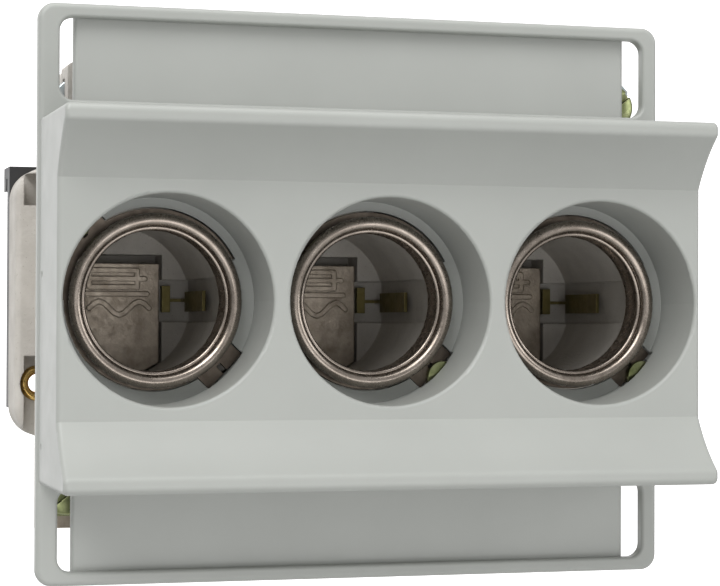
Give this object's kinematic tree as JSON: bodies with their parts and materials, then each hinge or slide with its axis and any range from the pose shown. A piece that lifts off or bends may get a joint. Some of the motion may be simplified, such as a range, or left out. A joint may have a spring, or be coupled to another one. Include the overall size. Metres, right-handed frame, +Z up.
{
  "type": "cartridge fuse holder",
  "caption": "Screw-in cartridge fuse base for a mounting rail: scooped light-grey cover with round wells over ceramic blocks, threaded shells, contacts, screw terminals and sliding shields.",
  "frame": {"origin": "on the plane that bears on the mounting rail, behind the middle well", "axes": "+X along the rail, +Y into the panel, +Z up"},
  "size_m": [0.081, 0.0531, 0.071],
  "materials": {
    "cover_plastic": "satin light-grey moulding",
    "shield_plastic": "satin light-grey moulding",
    "black_plastic": "matt black moulding",
    "spring_steel": "bright spring wire",
    "steatite": "unglazed off-white steatite",
    "nickel": "warm nickel plating on pressed brass",
    "nickel_dark": "dark nickel plating",
    "nickel_plate": "dull nickel plating on stamped copper alloy",
    "brass_leaf": "dull brass leaf",
    "yellow_zinc": "yellow-green passivated zinc",
    "blue_zinc": "blue passivated zinc",
    "brass": "bright rolled brass"
  },
  "bodies": {
    "base": {"rail_adapter": "black_plastic", "latch_spring": "spring_steel", "ceramic_base_1": "steatite", "screw_shell_1": "nickel", "collar_contact_1": "nickel_dark", "foot_contact_1": "nickel_plate", "gauge_spring_1": "brass_leaf", "ceramic_base_2": "steatite", "screw_shell_2": "nickel", "collar_contact_2": "nickel_dark", "foot_contact_2": "nickel_plate", "gauge_spring_2": "brass_leaf", "ceramic_base_3": "steatite", "screw_shell_3": "nickel", "collar_contact_3": "nickel_dark", "foot_contact_3": "nickel_plate", "gauge_spring_3": "brass_leaf", "collar_screws": "yellow_zinc", "block_screws": "blue_zinc", "eyelets": "brass"},
    "cover": {"front_cover": "cover_plastic"},
    "upper_shield": {"upper_terminal_shield": "shield_plastic"},
    "lower_shield": {"lower_terminal_shield": "shield_plastic"},
    "latch": {"rail_latch": "black_plastic"},
    "top_clamp_1": {"top_clamp_1": "yellow_zinc"},
    "top_screw_1": {"top_screw_1": "yellow_zinc"},
    "bottom_clamp_1": {"bottom_clamp_1": "yellow_zinc"},
    "bottom_screw_1": {"bottom_screw_1": "yellow_zinc"},
    "top_clamp_2": {"top_clamp_2": "yellow_zinc"},
    "top_screw_2": {"top_screw_2": "yellow_zinc"},
    "bottom_clamp_2": {"bottom_clamp_2": "yellow_zinc"},
    "bottom_screw_2": {"bottom_screw_2": "yellow_zinc"},
    "top_clamp_3": {"top_clamp_3": "yellow_zinc"},
    "top_screw_3": {"top_screw_3": "yellow_zinc"},
    "bottom_clamp_3": {"bottom_clamp_3": "yellow_zinc"},
    "bottom_screw_3": {"bottom_screw_3": "yellow_zinc"}
  },
  "joints": [
    {"name": "cover_pull", "type": "slide", "parent": "base", "child": "cover", "axis": [0, -1, 0], "range_m": [0, 0.04]},
    {"name": "upper_shield_slide", "type": "slide", "parent": "cover", "child": "upper_shield", "axis": [0, 0, -1], "range_m": [0, 0.008]},
    {"name": "lower_shield_slide", "type": "slide", "parent": "cover", "child": "lower_shield", "axis": [0, 0, 1], "range_m": [0, 0.008]},
    {"name": "latch_pull", "type": "slide", "parent": "base", "child": "latch", "axis": [0, 0, -1], "range_m": [0, 0.003], "stiffness_N_per_m": 500, "springref_m": -0.004, "deforming": ["latch_spring"]},
    {"name": "top_clamp_1_lift", "type": "slide", "parent": "base", "child": "top_clamp_1", "axis": [0, -1, 0], "range_m": [0, 0.0028]},
    {"name": "top_screw_1_turn", "type": "hinge", "parent": "top_clamp_1", "child": "top_screw_1", "pos_m": [-0.0168, -0.02, 0.0264], "axis": [0, -1, 0], "range_deg": [0, 1441]},
    {"name": "bottom_clamp_1_lift", "type": "slide", "parent": "base", "child": "bottom_clamp_1", "axis": [0, -1, 0], "range_m": [0, 0.0028]},
    {"name": "bottom_screw_1_turn", "type": "hinge", "parent": "bottom_clamp_1", "child": "bottom_screw_1", "pos_m": [-0.0356, -0.02, -0.0236], "axis": [0, -1, 0], "range_deg": [0, 1441]},
    {"name": "top_clamp_2_lift", "type": "slide", "parent": "base", "child": "top_clamp_2", "axis": [0, -1, 0], "range_m": [0, 0.0028]},
    {"name": "top_screw_2_turn", "type": "hinge", "parent": "top_clamp_2", "child": "top_screw_2", "pos_m": [0.0102, -0.02, 0.0264], "axis": [0, -1, 0], "range_deg": [0, 1441]},
    {"name": "bottom_clamp_2_lift", "type": "slide", "parent": "base", "child": "bottom_clamp_2", "axis": [0, -1, 0], "range_m": [0, 0.0028]},
    {"name": "bottom_screw_2_turn", "type": "hinge", "parent": "bottom_clamp_2", "child": "bottom_screw_2", "pos_m": [-0.0086, -0.02, -0.0236], "axis": [0, -1, 0], "range_deg": [0, 1441]},
    {"name": "top_clamp_3_lift", "type": "slide", "parent": "base", "child": "top_clamp_3", "axis": [0, -1, 0], "range_m": [0, 0.0028]},
    {"name": "top_screw_3_turn", "type": "hinge", "parent": "top_clamp_3", "child": "top_screw_3", "pos_m": [0.0372, -0.02, 0.0264], "axis": [0, -1, 0], "range_deg": [0, 1441]},
    {"name": "bottom_clamp_3_lift", "type": "slide", "parent": "base", "child": "bottom_clamp_3", "axis": [0, -1, 0], "range_m": [0, 0.0028]},
    {"name": "bottom_screw_3_turn", "type": "hinge", "parent": "bottom_clamp_3", "child": "bottom_screw_3", "pos_m": [0.0184, -0.02, -0.0236], "axis": [0, -1, 0], "range_deg": [0, 1441]}
  ],
  "couplings": [
    {"joint": "top_screw_1_turn", "follows": "top_clamp_1_lift", "rad_per_m": 8976},
    {"joint": "bottom_screw_1_turn", "follows": "bottom_clamp_1_lift", "rad_per_m": 8976},
    {"joint": "top_screw_2_turn", "follows": "top_clamp_2_lift", "rad_per_m": 8976},
    {"joint": "bottom_screw_2_turn", "follows": "bottom_clamp_2_lift", "rad_per_m": 8976},
    {"joint": "top_screw_3_turn", "follows": "top_clamp_3_lift", "rad_per_m": 8976},
    {"joint": "bottom_screw_3_turn", "follows": "bottom_clamp_3_lift", "rad_per_m": 8976}
  ]
}
